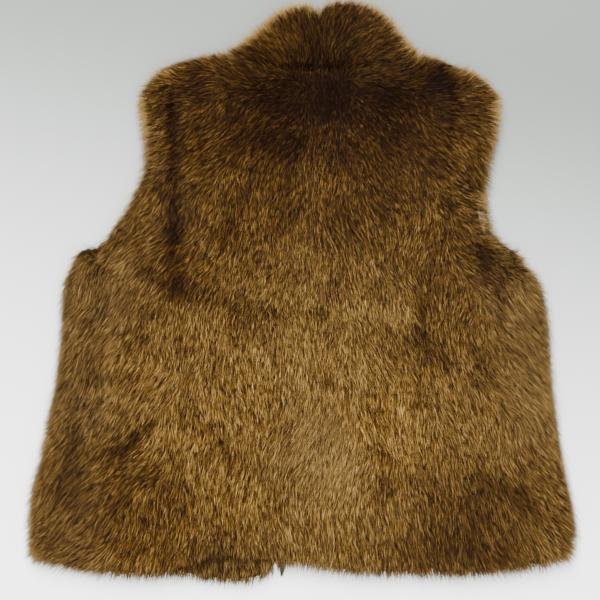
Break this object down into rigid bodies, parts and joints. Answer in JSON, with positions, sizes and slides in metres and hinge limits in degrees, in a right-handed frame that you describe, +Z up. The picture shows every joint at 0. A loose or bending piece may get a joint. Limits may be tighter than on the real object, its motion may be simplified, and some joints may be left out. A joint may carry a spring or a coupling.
{
  "type": "faux fur vest",
  "caption": "Sleeveless brown faux fur vest with a stand collar and a closed front, laid flat with its back uppermost.",
  "frame": {"origin": "middle of the footprint, on the surface that the vest lies on", "axes": "+Y from the hem to the collar, +X to the right as seen from above, +Z up out of the back"},
  "size_m": [0.5398, 0.583, 0.0231],
  "materials": {
    "back_fur": "golden brown faux fur, long soft pile with darker tips at the roots",
    "front_fur": "the same faux fur, a little greyer where it rolls over at the sides",
    "collar_fur": "the same faux fur, brushed upright",
    "closing_tape": "black woven tape",
    "satin_lining": "pale gold satin"
  },
  "bodies": {
    "root": {"back_upper_centre": "back_fur", "back_lower_centre": "back_fur", "back_side_left": "back_fur", "back_side_right": "back_fur", "front_left": "front_fur", "front_right": "front_fur", "collar_left": "collar_fur", "collar_right": "collar_fur", "closing_tape": "closing_tape", "armhole_lining": "satin_lining"}
  },
  "joints": []
}
